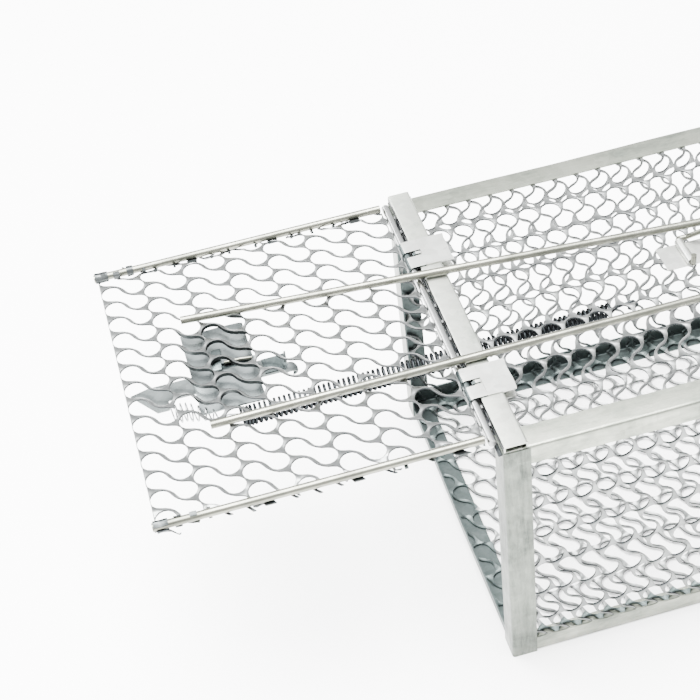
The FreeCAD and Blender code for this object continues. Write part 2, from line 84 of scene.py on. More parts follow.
def metal(name, light, dark, roughness, patch=45.0, streak=(14.0, 14.0, 14.0), tint=None,
          scratches=0.35, bump=0.15, grain=1800.0, spread=0.12, metallic=1.0):
    """Zinc-coated or drawn steel: cloudy patches, fine scratches and uneven gloss."""
    made = bpy.data.materials.new(name)
    made.use_nodes = True
    tree = made.node_tree
    link = tree.links.new
    shader = tree.nodes["Principled BSDF"]
    shader.inputs["Metallic"].default_value = metallic
    place = node(tree, "TexCoord")
    stretch = node(tree, "Mapping")
    stretch.inputs["Scale"].default_value = streak
    link(place.outputs["Object"], stretch.inputs["Vector"])

    clouds = node(tree, "TexNoise", Scale=patch, Detail=5.0, Roughness=0.62, Distortion=0.6)
    link(place.outputs["Object"], clouds.inputs["Vector"])
    streaks = node(tree, "TexNoise", Scale=9.0, Detail=7.0, Roughness=0.7)
    link(stretch.outputs["Vector"], streaks.inputs["Vector"])
    cells = node(tree, "TexVoronoi", Scale=330.0)
    link(place.outputs["Object"], cells.inputs["Vector"])

    blend = node(tree, "Mix", data_type="FLOAT")
    blend.inputs["Factor"].default_value = 0.45
    link(clouds.outputs["Fac"], blend.inputs[2])
    link(streaks.outputs["Fac"], blend.inputs[3])
    ramp = node(tree, "ValToRGB")
    ramp.color_ramp.elements[0].position = 0.36
    ramp.color_ramp.elements[0].color = (*dark, 1)
    ramp.color_ramp.elements[1].position = 0.62
    ramp.color_ramp.elements[1].color = (*light, 1)
    if tint is not None:
        middle = ramp.color_ramp.elements.new(0.47)
        middle.color = (*tint, 1)
    link(blend.outputs[0], ramp.inputs["Fac"])

    spangle = node(tree, "Mix", data_type="RGBA", blend_type="MULTIPLY")
    spangle.inputs["Factor"].default_value = 0.22
    grey = node(tree, "Math", operation="MULTIPLY_ADD")
    grey.inputs[1].default_value = 0.8
    grey.inputs[2].default_value = 0.55
    split = node(tree, "SeparateColor")
    link(cells.outputs["Color"], split.inputs["Color"])
    link(split.outputs[0], grey.inputs[0])
    link(ramp.outputs["Color"], spangle.inputs[6])
    link(grey.outputs[0], spangle.inputs[7])

    lines = node(tree, "TexNoise", Scale=60.0, Detail=3.0, Roughness=0.9)
    along = node(tree, "Mapping")
    along.inputs["Scale"].default_value = (0.25, 9.0, 4.0)
    along.inputs["Rotation"].default_value = (0.2, 0.3, 0.5)
    link(place.outputs["Object"], along.inputs["Vector"])
    link(along.outputs["Vector"], lines.inputs["Vector"])
    marks = node(tree, "MapRange")
    marks.inputs["From Min"].default_value = 0.60
    marks.inputs["From Max"].default_value = 0.72
    marks.inputs["To Max"].default_value = scratches
    link(lines.outputs["Fac"], marks.inputs["Value"])
    marked = node(tree, "Mix", data_type="RGBA", blend_type="MIX")
    link(marks.outputs["Result"], marked.inputs["Factor"])
    link(spangle.outputs[2], marked.inputs[6])
    marked.inputs[7].default_value = (*[c * 0.62 for c in light], 1)
    link(marked.outputs[2], shader.inputs["Base Color"])

    gloss = node(tree, "MapRange")
    gloss.inputs["From Min"].default_value = 0.3
    gloss.inputs["From Max"].default_value = 0.7
    gloss.inputs["To Min"].default_value = roughness + spread
    gloss.inputs["To Max"].default_value = max(0.08, roughness - spread)
    link(blend.outputs[0], gloss.inputs["Value"])
    link(gloss.outputs["Result"], shader.inputs["Roughness"])

    pits = node(tree, "TexNoise", Scale=grain, Detail=3.0, Roughness=0.6)
    link(place.outputs["Object"], pits.inputs["Vector"])
    uneven = node(tree, "Math", operation="MULTIPLY_ADD")
    uneven.inputs[1].default_value = 0.35
    link(pits.outputs["Fac"], uneven.inputs[0])
    link(streaks.outputs["Fac"], uneven.inputs[2])
    height = node(tree, "Bump")
    height.inputs["Strength"].default_value = bump
    height.inputs["Distance"].default_value = 0.0004
    link(uneven.outputs[0], height.inputs["Height"])
    link(height.outputs["Normal"], shader.inputs["Normal"])
    return made


FRAME_METAL = metal("galvanised_frame", (0.46, 0.47, 0.43), (0.19, 0.21, 0.185), 0.40,
                    tint=(0.36, 0.375, 0.335), patch=38.0, scratches=0.55, bump=0.22)
RAIL_METAL = metal("galvanised_rail", (0.30, 0.31, 0.262), (0.10, 0.112, 0.095), 0.40,
                   tint=(0.185, 0.198, 0.166), patch=52.0, streak=(6.0, 40.0, 40.0), scratches=0.6, bump=0.24)
# the posts' zinc is darker than the rails' and crossbars' as painted shade on the upright faces; its
# scratches and streaks are the metal's own marks
POST_METAL = metal("galvanised_post", (0.135, 0.146, 0.126), (0.040, 0.046, 0.040), 0.42,
                   tint=(0.088, 0.097, 0.084), patch=44.0, streak=(60.0, 60.0, 9.0), scratches=0.7, bump=0.24)
# painted shade: darker zinc for faces that sit in shade, such as the posts' inner faces, floor lips, far
# bottom rail and mesh borders
PAINTED_SHADE_ZINC = metal("galvanised_painted_shade", (0.085, 0.102, 0.10), (0.036, 0.047, 0.045), 0.46,
                   patch=60.0, scratches=0.3, bump=0.2)
MESH_METAL = metal("expanded_metal", (0.225, 0.232, 0.227), (0.10, 0.106, 0.106), 0.36,
                   patch=70.0, scratches=0.2, bump=0.12)
# cut walls of the strands, darker than the coated faces and darkened further as painted shade; also the
# painted shade on the crossbar's front wall and the strip below the hinge rod
CUT_EDGE_AND_SHADE = metal("expanded_metal_cut_and_shade", (0.03, 0.033, 0.034), (0.014, 0.016, 0.017), 0.5,
                  patch=120.0, scratches=0.1, bump=0.25)
SHADED_STRAND = metal("expanded_metal_painted_shade", (0.07, 0.075, 0.075), (0.022, 0.026, 0.026), 0.45,
                      patch=240.0, scratches=0.2, bump=0.2)
PLATE_METAL = metal("plate_sheet", (0.20, 0.222, 0.222), (0.10, 0.116, 0.116), 0.36,
                    patch=52.0, scratches=0.3, bump=0.15)
TONGUE_METAL = metal("tongue_sheet", (0.15, 0.165, 0.163), (0.075, 0.087, 0.086), 0.38,
                      patch=60.0, scratches=0.3)
DARK_PLATE = metal("plate_sheet_shaded", (0.075, 0.09, 0.09), (0.03, 0.038, 0.038), 0.42,
                   patch=90.0, scratches=0.3, bump=0.2)
TAB_METAL = metal("tab_sheet", (0.60, 0.605, 0.575), (0.38, 0.39, 0.365), 0.36,
                  patch=52.0, scratches=0.45, bump=0.15)
WIRE_METAL = metal("zinc_wire", (0.215, 0.215, 0.178), (0.075, 0.078, 0.064), 0.32,
                   patch=42.0, streak=(4.0, 60.0, 60.0), scratches=0.3, bump=0.12)
ROD_METAL = metal("hinge_rod_wire", (0.36, 0.365, 0.36), (0.20, 0.206, 0.20), 0.28,
                  patch=40.0, streak=(60.0, 5.0, 60.0), scratches=0.3, bump=0.1)
SPRING_PAINTED_SHADE = metal("spring_wire", (0.03, 0.033, 0.035), (0.012, 0.014, 0.015), 0.45,
                     patch=90.0, scratches=0.1, bump=0.05)
SPRING_PAINTED_LIGHT = metal("spring_wire_painted_light", (0.34, 0.35, 0.35), (0.16, 0.17, 0.17), 0.30,
                      patch=90.0, scratches=0.1, bump=0.05)


# -------------------------------------------------------------------- helpers
# the painted-shade spring coils and strands keep their reflections grey
for dark_metal in (SPRING_PAINTED_SHADE, SHADED_STRAND):
    dark_metal.node_tree.nodes["Principled BSDF"].inputs["Specular Tint"].default_value = (0.2, 0.2, 0.2, 1)


def wobble(point):
    """Small dents and waviness of thin sheet, the same for all that touches."""
    place = Vector(point) * 0.021
    wide = noise.noise_vector(place)
    fine = noise.noise_vector(place * 3.1 + Vector((7, 3, 5)))
    return wide * 0.22 + fine * 0.06


def piece(name, points, faces, materials, body, slot, marks=None, sharp=38, second=None):
    """A mesh object from points in the cage's axes, riding on a CAD body.

    second(centre, normal) is true for the faces that take the last material;
    the centre is in mm behind the front frame, both in the object's own axes.
    """
    mesh = bpy.data.meshes.new(name)
    mesh.from_pydata([at(p) for p in points], [], faces)
    for material in materials:
        mesh.materials.append(material)
    if marks is not None:
        mesh.polygons.foreach_set("material_index", marks)
    mesh.polygons.foreach_set("use_smooth", [True] * len(faces))
    mesh.validate()
    mesh.update()
    if second is not None:
        for polygon in mesh.polygons:
            if second(polygon.center / MM - Vector((FRONT_X, 0, 0)), polygon.normal):
                polygon.material_index = len(materials) - 1
    mesh.set_sharp_from_angle(angle=math.radians(sharp))
    made = bpy.data.objects.new(name, mesh)
    bpy.context.scene.collection.objects.link(made)
    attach(made, body)
    return made


def rounded(points, radius, steps=4):
    """A 2-D or 3-D run of points with every inner corner replaced by an arc."""
    points = [Vector(p) for p in points]
    made = [points[0]]
    for before, corner, after in zip(points, points[1:], points[2:]):
        back, ahead = (before - corner), (after - corner)
        turn = back.angle(ahead)
        reach = min(radius / math.tan(turn / 2), back.length * 0.48, ahead.length * 0.48)
        start, end = corner + back.normalized() * reach, corner + ahead.normalized() * reach
        for i in range(steps + 1):
            t = i / steps
            made.append(start * (1 - t) ** 2 + corner * 2 * t * (1 - t) + end * t ** 2)
    made.append(points[-1])
    return made


def tube(path, radius, sides=10, cap=0.15):
    """Points and faces of round wire along a path, with slightly rounded cut ends."""
    path = [Vector(p) for p in path]
    tangents = []
    for i in range(len(path)):
        a, b = path[max(0, i - 1)], path[min(len(path) - 1, i + 1)]
        tangents.append((b - a).normalized())
    side = tangents[0].orthogonal().normalized()
    rings = []
    for i, (p, t) in enumerate(zip(path, tangents)):
        side = (side - t * side.dot(t)).normalized()
        other = t.cross(side)
        rings.append((p, t, side.copy(), other))
    points, faces = [], []

    def ring(p, s, o, r):
        first = len(points)
        for k in range(sides):
            a = 2 * math.pi * k / sides
            points.append(p + s * math.cos(a) * r + o * math.sin(a) * r)
        return first

    starts = []
    p, t, s, o = rings[0]
    starts.append(ring(p, s, o, radius - cap))
    starts.append(ring(p + t * cap, s, o, radius))
    for p, t, s, o in rings[1:-1]:
        starts.append(ring(p, s, o, radius))
    p, t, s, o = rings[-1]
    starts.append(ring(p - t * cap, s, o, radius))
    starts.append(ring(p, s, o, radius - cap))
    for a, b in zip(starts, starts[1:]):
        for k in range(sides):
            m = (k + 1) % sides
            faces.append((a + k, a + m, b + m, b + k))
    faces.append(tuple(reversed(range(starts[0], starts[0] + sides))))
    faces.append(tuple(range(starts[-1], starts[-1] + sides)))
    return points, faces


def joined(*shapes):
    """Several (points, faces) as one."""
    points, faces = [], []
    for some, their in shapes:
        first = len(points)
        points += list(some)
        faces += [tuple(i + first for i in f) for f in their]
    return points, faces


def bent_sheet(profile, thick, length, place, steps=30):
    """Sheet bent along one direction: a mid-line swept along a straight length.

    place(p, q, s) gives the point for profile coordinates p, q at length s.
    """
    profile = [Vector(p) for p in profile]
    left, right = [], []
    for i, p in enumerate(profile):
        a, b = profile[max(0, i - 1)], profile[min(len(profile) - 1, i + 1)]
        d = (b - a).normalized()
        n = Vector((-d.y, d.x)) * thick / 2
        left.append(p + n)
        right.append(p - n)
    loop = left + right[::-1]
    count = len(loop)
    points, faces = [], []
    for k in range(steps + 1):
        s = length[0] + (length[1] - length[0]) * k / steps
        points += [place(p.x, p.y, s) for p in loop]
    for k in range(steps):
        for i in range(count):
            j = (i + 1) % count
            faces.append((k * count + i, k * count + j, (k + 1) * count + j, (k + 1) * count + i))
    half = len(profile)
    for i in range(half - 1):
        a, b, c, d = i, i + 1, count - 2 - i, count - 1 - i
        faces.append((a, d, c, b))
        last = steps * count
        faces.append((last + a, last + b, last + c, last + d))
    return points, faces


def outward(shape):
    """The same shape with its faces turned outwards."""
    points, faces = shape
    volume = 0.0
    for f in faces:
        a = points[f[0]]
        for i in range(1, len(f) - 1):
            volume += a.dot(points[f[i]].cross(points[f[i + 1]]))
    return points, (faces if volume > 0 else [tuple(reversed(f)) for f in faces])


def shaken(shape):
    points, faces = outward(shape)
    return [Vector(p) + wobble(p) for p in points], faces


# ---------------------------------------------------------------------- frame
def frame_pieces():
    """Posts, rails and crossbars as folded sheet with real bends."""
    mid = SHEET / 2
    w, h, back = HALF_WIDTH, TOP_Z, BACK_X - 0.6

    for front in (True, False):
        for side, side_name in ((-1, "near"), (1, "far")):
            x = 0.0 if front else back
            inward = 1 if front else -1
            profile = rounded([(x + inward * 9.5, side * (w - mid)),
                               (x + inward * mid, side * (w - mid)),
                               (x + inward * mid, side * (w - 9.5))], 0.9)
            shape = shaken(bent_sheet(profile, SHEET, (0.0, h), lambda p, q, s: Vector((p, q, s))))
            name = ("front_" if front else "rear_") + side_name + "_post"
            # the posts' inner faces take the painted-shade zinc
            made = piece(name + "_sheet", *shape, [POST_METAL, PAINTED_SHADE_ZINC], "cage", "frame_sheet",
                         second=lambda c, n: n.y * c.y < -20 and abs(c.y) > 55)
            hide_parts(name)
    for top in (True, False):
        for side, side_name in ((-1, "near"), (1, "far")):
            z = h if top else 0.0
            turn = -1 if top else 1
            flange, drop = (9.6, 8.2) if top else (9.0, 7.6)
            outer = side * (w - SHEET)
            profile = rounded([(outer - side * flange, z + turn * mid),
                               (outer - side * mid, z + turn * mid),
                               (outer - side * mid, z + turn * drop)], 0.9)
            shape = shaken(bent_sheet(profile, SHEET, (SHEET, back - SHEET),
                                      lambda p, q, s: Vector((s, p, q)), 60))
            name = side_name + ("_top_rail" if top else "_bottom_rail")
            # the far bottom rail is in painted-shade zinc, the near one is not
            made = piece(name + "_sheet", *shape, [RAIL_METAL if top or side < 0 else PAINTED_SHADE_ZINC],
                         "cage", "frame_sheet")
            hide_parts(name)
    for front in (True, False):
        x = SHEET if front else back - SHEET
        inward = 1 if front else -1
        reach = w - 1.3
        profile = rounded([(x + inward * 9.0, SHEET + mid), (x + inward * mid, SHEET + mid),
                           (x + inward * mid, SHEET + 4.6)], 0.7)
        shape = shaken(bent_sheet(profile, SHEET, (-reach, reach), lambda p, q, s: Vector((p, s, q))))
        name = ("front" if front else "rear") + "_floor_lip"
        # the floor lips are in painted-shade zinc
        made = piece(name + "_sheet", *shape, [PAINTED_SHADE_ZINC], "cage", "frame_sheet")
        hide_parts(name)

    reach = w - 0.5
    profile = rounded([(8.4 + 0.3 - 1.9, h + mid), (0.3 + mid, h + mid), (0.3 + mid, h + 3 - mid),
                       (8.7 - mid, h + 3 - mid), (8.7 - mid, h + 0.2)], 0.55)
    shape = shaken(bent_sheet(profile, SHEET, (-reach, reach), lambda p, q, s: Vector((p, s, q)), 50))
    # dark strip below the hinge rod, a guess that the CAD doesn't have; it and the crossbar's front wall are
    # painted shade
    flange = outward(bent_sheet([(-1.3, h - 1.5), (0.9, h - 1.4)], 0.5, (-reach + 1, reach - 1),
                                lambda p, q, s: Vector((p, s, q)), 8))
    made = piece("front_top_crossbar_sheet", *joined(shape, flange), [FRAME_METAL, CUT_EDGE_AND_SHADE], "cage",
                 "frame_sheet", second=lambda c, n: c.x < 0.5 and (n.x < -0.6 or c.z < h + 0.2))
    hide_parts("front_top_crossbar")

    profile = rounded([(back - 9.6, h + mid), (back + mid, h + mid), (back + mid, h - 8.2)], 0.8)
    shape = shaken(bent_sheet(profile, SHEET, (-reach, reach), lambda p, q, s: Vector((p, s, q)), 40))
    made = piece("rear_top_crossbar_sheet", *shape, [FRAME_METAL], "cage", "frame_sheet")
    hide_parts("rear_top_crossbar")


frame_pieces()

# ------------------------------------------------------------- expanded metal
COLUMN_PITCH = 15.66
ROW_PITCH = 8.8
COLUMN_SHIFT = 3.4
ROW_PHASE = 2.0
LOBE_RADIUS = 3.68
LOBE_RUN = 8.85
LOBE_RISE = 7.35
WAIST_HALF = 2.2
LOBE_START = (COLUMN_PITCH - LOBE_RUN) / 2
HALF_SPAN = math.hypot(LOBE_RUN, LOBE_RISE) / 2
WAIST_RADIUS = (HALF_SPAN ** 2 + WAIST_HALF ** 2 - LOBE_RADIUS ** 2) / (2 * (LOBE_RADIUS - WAIST_HALF))
THICK = 1.0
ROUNDING = 0.2
TILT = 0.22


def opening_outline(first_lobe):
    """Outline of one opening as (u, v, side) with side from -1 to 1 across it."""
    slope = math.atan2(LOBE_RISE, LOBE_RUN)
    middle = (first_lobe[0] + LOBE_RUN / 2, first_lobe[1] + LOBE_RISE / 2)
    hollow = WAIST_RADIUS + WAIST_HALF
    touch = math.atan2(hollow, -HALF_SPAN)
    spread = math.atan2(HALF_SPAN, hollow)
    local = []
    for i in range(11):
        a = -touch + 2 * touch * i / 10
        local.append((HALF_SPAN + LOBE_RADIUS * math.cos(a), LOBE_RADIUS * math.sin(a)))
    for i in range(1, 5):
        a = -math.pi / 2 + spread - 2 * spread * i / 5
        local.append((WAIST_RADIUS * math.cos(a), hollow + WAIST_RADIUS * math.sin(a)))
    for i in range(11):
        a = math.pi - touch + 2 * touch * i / 10
        local.append((-HALF_SPAN + LOBE_RADIUS * math.cos(a), LOBE_RADIUS * math.sin(a)))
    for i in range(1, 5):
        a = math.pi / 2 + spread - 2 * spread * i / 5
        local.append((WAIST_RADIUS * math.cos(a), -hollow + WAIST_RADIUS * math.sin(a)))
    c, s = math.cos(slope), math.sin(slope)
    return [(middle[0] + x * c - y * s, middle[1] + x * s + y * c, y / LOBE_RADIUS) for x, y in local]


def side_line(a, b, step):
    """Points from a up to b, b left out."""
    a, b = Vector(a), Vector(b)
    count = max(1, round((b - a).length / step))
    return [a + (b - a) * (i / count) for i in range(count)]


def expanded_metal(length, width, columns, place, flip=False, past=1, cut_ends=True,
                   near_edge=None, far_edge=None, step=3.0, drift=0.18, seed=0.0):
    """A sheet of expanded metal: openings run along u, rows follow v.

    place(u, v, w) gives the point at height w over the mid-plane. Openings
    that cross the outline are cut by it. near_edge and far_edge give the v of
    the long edges at u, where these aren't straight.
    """
    low = near_edge or (lambda u: 0.0)
    high = far_edge or (lambda u: width)
    outline = []
    bottom = [Vector((u.x, low(u.x))) for u in side_line((0, 0), (length, 0), step)]
    bottom.append(Vector((length, low(length))))
    top = [Vector((u.x, high(u.x))) for u in side_line((length, 0), (0, 0), step)]
    top.append(Vector((0, high(0))))
    outline += bottom[:-1] + side_line(bottom[-1], top[0], step)
    outline += top[:-1] + side_line(top[-1], bottom[0], step)

    points = [Vector(p) for p in outline]
    lean = [0.0] * len(points)
    faces = [list(range(len(points)))]
    start = (length - columns * COLUMN_PITCH) / 2
    extra = past if cut_ends else 0
    for column in range(-extra, columns + extra):
        for row in range(-columns - 4, int(width / ROW_PITCH) + 5):
            u = start + column * COLUMN_PITCH + LOBE_START
            v = row * ROW_PITCH + column * COLUMN_SHIFT + ROW_PHASE
            ring = opening_outline((u, v))
            if flip:
                ring = [(a, width - b, -s) for a, b, s in reversed(ring)]
            vs = [b for a, b, s in ring]
            us = [a for a, b, s in ring]
            if max(vs) < -6 or min(vs) > width + 6 or max(us) < 0 or min(us) > length:
                continue
            shift = noise.noise_vector(Vector((u * 0.03 + seed, v * 0.03, seed * 3.7))) * drift
            bend = noise.noise_vector(Vector((u * 0.21 + seed, v * 0.21, seed + 9))) * drift * 0.6
            faces.append(list(range(len(points), len(points) + len(ring))))
            for a, b, s in ring:
                points.append(Vector((a + shift.x + bend.x, b + shift.y + bend.y)))
                lean.append(s)
    out, _, kept, origin, _, source = delaunay_2d_cdt(points, [], faces, 0, 1e-5)
    kept = [list(f) for f, s in zip(kept, source) if list(s) == [0]]
    used = sorted({i for f in kept for i in f})
    number = {old: new for new, old in enumerate(used)}
    flat = [out[i].copy() for i in used]
    side = [next((lean[o] for o in origin[i]), 0.0) for i in used]
    kept = [[number[i] for i in f] for f in kept]
    for f in kept:
        a, b, c = (flat[i] for i in f)
        if (b - a).x * (c - a).y - (b - a).y * (c - a).x < 0:
            f.reverse()
    open_edges = {}
    for f in kept:
        for a, b in zip(f, f[1:] + f[:1]):
            open_edges[a, b] = open_edges.get((a, b), 0) + 1
    border = [(a, b) for a, b in open_edges if (b, a) not in open_edges]
    inward = [Vector((0, 0)) for _ in flat]
    for a, b in border:
        d = (flat[b] - flat[a]).normalized()
        for i in (a, b):
            inward[i] += Vector((-d.y, d.x))
    count = len(flat)
    made = []
    for offset, w in ((ROUNDING, THICK / 2), (0, THICK / 2 - ROUNDING),
                      (0, -THICK / 2 + ROUNDING), (ROUNDING, -THICK / 2)):
        for p, n, s in zip(flat, inward, side):
            q = p + (n.normalized() * offset if n.length > 0.3 else n * 0)
            made.append(place(q.x, q.y, w + s * TILT))
    surfaces, marks = [], []
    for f in kept:
        surfaces.append(tuple(f))
        surfaces.append(tuple(i + 3 * count for i in reversed(f)))
        marks += [0, 0]
    # the middle band of each cut wall takes the second material: darker cut edge, darkened further as painted
    # shade
    for a, b in border:
        for layer in range(3):
            surfaces.append((a + layer * count, a + (layer + 1) * count,
                             b + (layer + 1) * count, b + layer * count))
            marks.append(1 if layer == 1 else 0)
    return made, surfaces, marks


def flat_place(corner, along, across):
    corner, along, across = Vector(corner), Vector(along), Vector(across)
    normal = along.cross(across)

    def place(u, v, w):
        p = corner + along * u + across * v + normal * (w + THICK / 2)
        return p + wobble(p)
    return place


def cage_mesh(name, length, width, columns, corner, along, across, flip, seed, second=None):
    points, faces, marks = expanded_metal(length, width, columns, flat_place(corner, along, across),
                                          flip=flip, seed=seed)
    made = piece(name + "_strands", points, faces, [MESH_METAL, CUT_EDGE_AND_SHADE, PAINTED_SHADE_ZINC], "cage",
                 "mesh_steel", marks, second=second)
    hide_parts(name)
    return made


INNER_Y = HALF_WIDTH - 2 * SHEET
PANEL_HALF = INNER_Y - THICK - 0.1
MESH_X0 = 2 * SHEET + 0.1
MESH_LENGTH = (BACK_X - 0.6 - 2 * SHEET - THICK - 0.1) - MESH_X0
SIDE_Z0 = 2 * SHEET + THICK + 0.1
SIDE_Z1 = TOP_Z - SHEET - THICK - 0.1
# painted shade on the floor mesh by the front lip and the rails, and on the far side mesh by the floor
SHADE_FLOOR_X, SHADE_FLOOR_Y, SHADE_SIDE_Z = 9.6, 60.2, 11.0

cage_mesh("top_mesh", 2 * PANEL_HALF, MESH_LENGTH, 8, (MESH_X0, -PANEL_HALF, TOP_Z - SHEET),
          (0, 1, 0), (1, 0, 0), False, 1.0)
cage_mesh("floor_mesh", 2 * PANEL_HALF, MESH_LENGTH, 8, (MESH_X0, -PANEL_HALF, 2 * SHEET + THICK),
          (0, 1, 0), (1, 0, 0), True, 2.0, lambda c, n: c.x < SHADE_FLOOR_X or abs(c.y) > SHADE_FLOOR_Y)
cage_mesh("near_side_mesh", SIDE_Z1 - SIDE_Z0, MESH_LENGTH, 7, (MESH_X0, -INNER_Y, SIDE_Z0),
          (0, 0, 1), (1, 0, 0), True, 3.0)
cage_mesh("far_side_mesh", SIDE_Z1 - SIDE_Z0, MESH_LENGTH, 7, (MESH_X0, INNER_Y - THICK, SIDE_Z0),
          (0, 0, 1), (1, 0, 0), True, 4.0, lambda c, n: c.z < SHADE_SIDE_Z)
cage_mesh("back_mesh", SIDE_Z1 - SIDE_Z0, 2 * PANEL_HALF, 7,
          (MESH_X0 + MESH_LENGTH + 0.1 + THICK, -PANEL_HALF, SIDE_Z0), (0, 0, 1), (0, 1, 0), False, 5.0)

# ----------------------------------------------------------------------- door
HINGE = Vector((-2.0, 0, TOP_Z + 1.5))
DOOR_Z = TOP_Z + 2.85
DOOR_X0, DOOR_X1 = -114.7, -4.4
WIRE_Y = 63.5
ROD_RADIUS = 1.45
CURL_START = 58.6
CURL = rounded([(CURL_START, 0.0), (60.4, -0.25), (61.9, -1.75), (63.5, -2.05), (65.3, -1.6),
                (65.6, 0.1), (65.0, 1.7), (63.6, 2.05), (62.3, 1.6)], 1.6, 3)
PLATE_LOW, PLATE_HIGH = (p / MM - Vector((FRONT_X, 0, 0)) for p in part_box("lock_plate"))
# strands over the lock plate reach this much lower, so their dark walls widen into a painted shadow on the
# plate
STRAND_DEEPER = 0.9
CURL_RUNS = [0.0]
for one, two in zip(CURL, CURL[1:]):
    CURL_RUNS.append(CURL_RUNS[-1] + (two - one).length)


def curl_point(distance, w, loose):
    """Point and normal offset along the rolled edge; loose opens the roll outwards."""
    distance = min(distance, CURL_RUNS[-1] - 1e-4)
    i = max(k for k, run in enumerate(CURL_RUNS) if run <= distance)
    i = min(i, len(CURL) - 2)
    t = (distance - CURL_RUNS[i]) / (CURL_RUNS[i + 1] - CURL_RUNS[i])
    p = CURL[i].lerp(CURL[i + 1], t)
    before = (CURL[i] - CURL[max(0, i - 1)]) if i else Vector((1, 0))
    after = CURL[i + 1] - CURL[i]
    d = before.normalized().lerp(after.normalized(), 0.5 + t / 2).normalized()
    if loose > 0 and distance > 5.0:
        straight = Vector((64.2, -2.2)) + Vector((0.75, -0.35)) * (distance - 5.0)
        p = p.lerp(straight, loose)
        d = d.lerp(Vector((0.9, -0.4)), loose).normalized()
    return p + Vector((-d.y, d.x)) * w


def over_plate(x, y):
    """1 over the lock plate, where the strands are drawn deeper and darker as a painted shadow on the plate,
    else 0.
    """
    inside = min(x - PLATE_LOW.x, PLATE_HIGH.x - x, y - PLATE_LOW.y, PLATE_HIGH.y - y)
    return max(0.0, min(1.0, 0.5 + inside / 1.5))


def door_place(u, v, w):
    """u runs towards the hinge from the free edge, v towards the far side."""
    x = DOOR_X0 + u
    y = v - WIRE_Y
    side = 1 if y > 0 else -1
    over = abs(y) - CURL_START
    rise = noise.noise(Vector((x * 0.03, y * 0.03, 4.0))) * 0.25
    if w < 0:
        rise -= STRAND_DEEPER * over_plate(x, y)
    if over <= 0:
        return Vector((x, y, DOOR_Z + w + rise))
    open_part = max(0.0, noise.noise(Vector((x * 0.19, side * 8.0, 2.0)))) * 2.4
    p = curl_point(over, w * 0.72, min(1.0, open_part))
    return Vector((x, side * p.x, DOOR_Z + p.y + rise * max(0.0, 1 - over / 3)))


def cut_edge(side):
    """Uneven cut of the door mesh beyond its side wire."""
    def edge(u):
        ragged = noise.noise(Vector((u * 0.35, side * 5.0, 7.0))) * 2.2
        reach = 5.6 + ragged + (2.6 if u < 14 else 0.0)
        return WIRE_Y + side * (CURL_START + reach)
    return edge


def strap_loop(y, width, reach):
    """Strand end of the hinge edge, rolled under the hinge rod and up behind it."""
    radius = ROD_RADIUS + 0.32
    path = [Vector((DOOR_X1 - 0.9, DOOR_Z - 0.1)), Vector((DOOR_X1 + 0.1, DOOR_Z - 0.35))]
    for i in range(13):
        a = math.radians(168 + reach * i / 12)
        path.append(Vector((HINGE.x + radius * math.cos(a), HINGE.z + radius * math.sin(a))))
    return bent_sheet(path, 0.5, (y - width / 2, y + width / 2), lambda p, q, s: Vector((p, s, q)), 2)


def door_pieces():
    length = DOOR_X1 - DOOR_X0
    points, faces, marks = expanded_metal(
        length, 2 * WIRE_Y, 7, door_place, flip=True, cut_ends=False,
        near_edge=cut_edge(-1), far_edge=cut_edge(1), step=1.1, drift=0.22, seed=6.0)
    loops = []
    for i in range(14):
        y = (i - 6.5) * 8.8
        if abs(y - 33.0) < 8.9 or abs(y + 38.0) < 8.9:
            continue
        loops.append(strap_loop(y + 0.6 * noise.noise(Vector((y, 1, 2))), 1.3, 215))
    more, their = joined(*loops)
    first = len(points)
    points += more
    faces += [tuple(i + first for i in f) for f in their]
    marks += [0] * len(their)
    # walls and undersides of the strands over the lock plate take SHADED_STRAND: a painted shadow on the
    # plate
    made = piece("door_mesh_strands", points, faces, [MESH_METAL, CUT_EDGE_AND_SHADE, SHADED_STRAND], "door",
                 "mesh_steel", marks,
                 second=lambda c, n: n.z < 0.45 and over_plate(c.x, c.y) > 0.4)
    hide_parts("door_mesh")


door_pieces()


